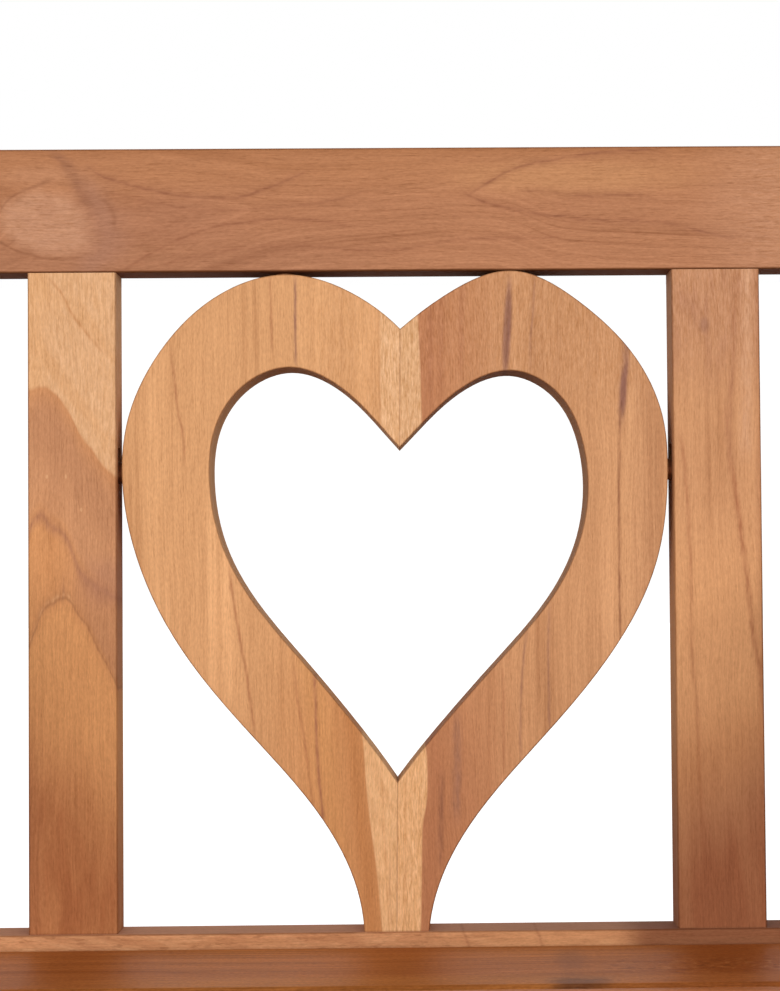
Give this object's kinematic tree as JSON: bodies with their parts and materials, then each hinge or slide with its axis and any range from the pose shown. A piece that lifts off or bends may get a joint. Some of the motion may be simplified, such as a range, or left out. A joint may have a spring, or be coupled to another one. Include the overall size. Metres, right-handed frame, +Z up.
{
  "type": "garden armchair",
  "caption": "Wooden garden armchair with a slatted seat, flat armrests and a reclined back that frames a heart between two upright slats.",
  "frame": {"origin": "on the floor, under the middle of the chair's bounding box", "axes": "+Z is up, +X is to the right of someone who looks at the chair from its front, and the sitter faces -Y"},
  "size_m": [0.62, 0.5958, 0.8834],
  "materials": {
    "frame_wood": "fine sanded, oiled",
    "back_slat_wood": "fine sanded, oiled",
    "heart_wood": "fine sanded, oiled",
    "seat_wood": "fine sanded, oiled",
    "peg_wood": "fine sanded, oiled",
    "screw_steel": "satin"
  },
  "bodies": {
    "root": {"rear_leg_left": "frame_wood", "rear_leg_right": "frame_wood", "front_leg_left": "frame_wood", "front_leg_right": "frame_wood", "armrest_left": "frame_wood", "armrest_right": "frame_wood", "seat_side_rail_left": "frame_wood", "seat_side_rail_right": "frame_wood", "front_seat_rail": "frame_wood", "rear_seat_rail": "frame_wood", "side_stretcher_left": "frame_wood", "side_stretcher_right": "frame_wood", "cross_stretcher": "frame_wood", "top_back_rail": "frame_wood", "lower_back_rail": "frame_wood", "back_slat_left": "back_slat_wood", "back_slat_right": "back_slat_wood", "heart_left": "heart_wood", "heart_right": "heart_wood", "seat_slat_1": "seat_wood", "seat_slat_2": "seat_wood", "seat_slat_3": "seat_wood", "seat_slat_4": "seat_wood", "seat_slat_5": "seat_wood", "seat_slat_6": "seat_wood", "heart_side_pegs": "peg_wood", "heart_lobe_dowels": "peg_wood", "heart_foot_dowels": "peg_wood", "heart_seam_dowels": "peg_wood", "back_rail_pegs": "peg_wood", "front_rail_pegs": "peg_wood", "side_rail_pegs": "peg_wood", "stretcher_pegs": "peg_wood", "seat_slat_plugs": "peg_wood", "arm_plugs": "peg_wood", "seat_slat_screws": "screw_steel", "arm_screws": "screw_steel"}
  },
  "joints": []
}
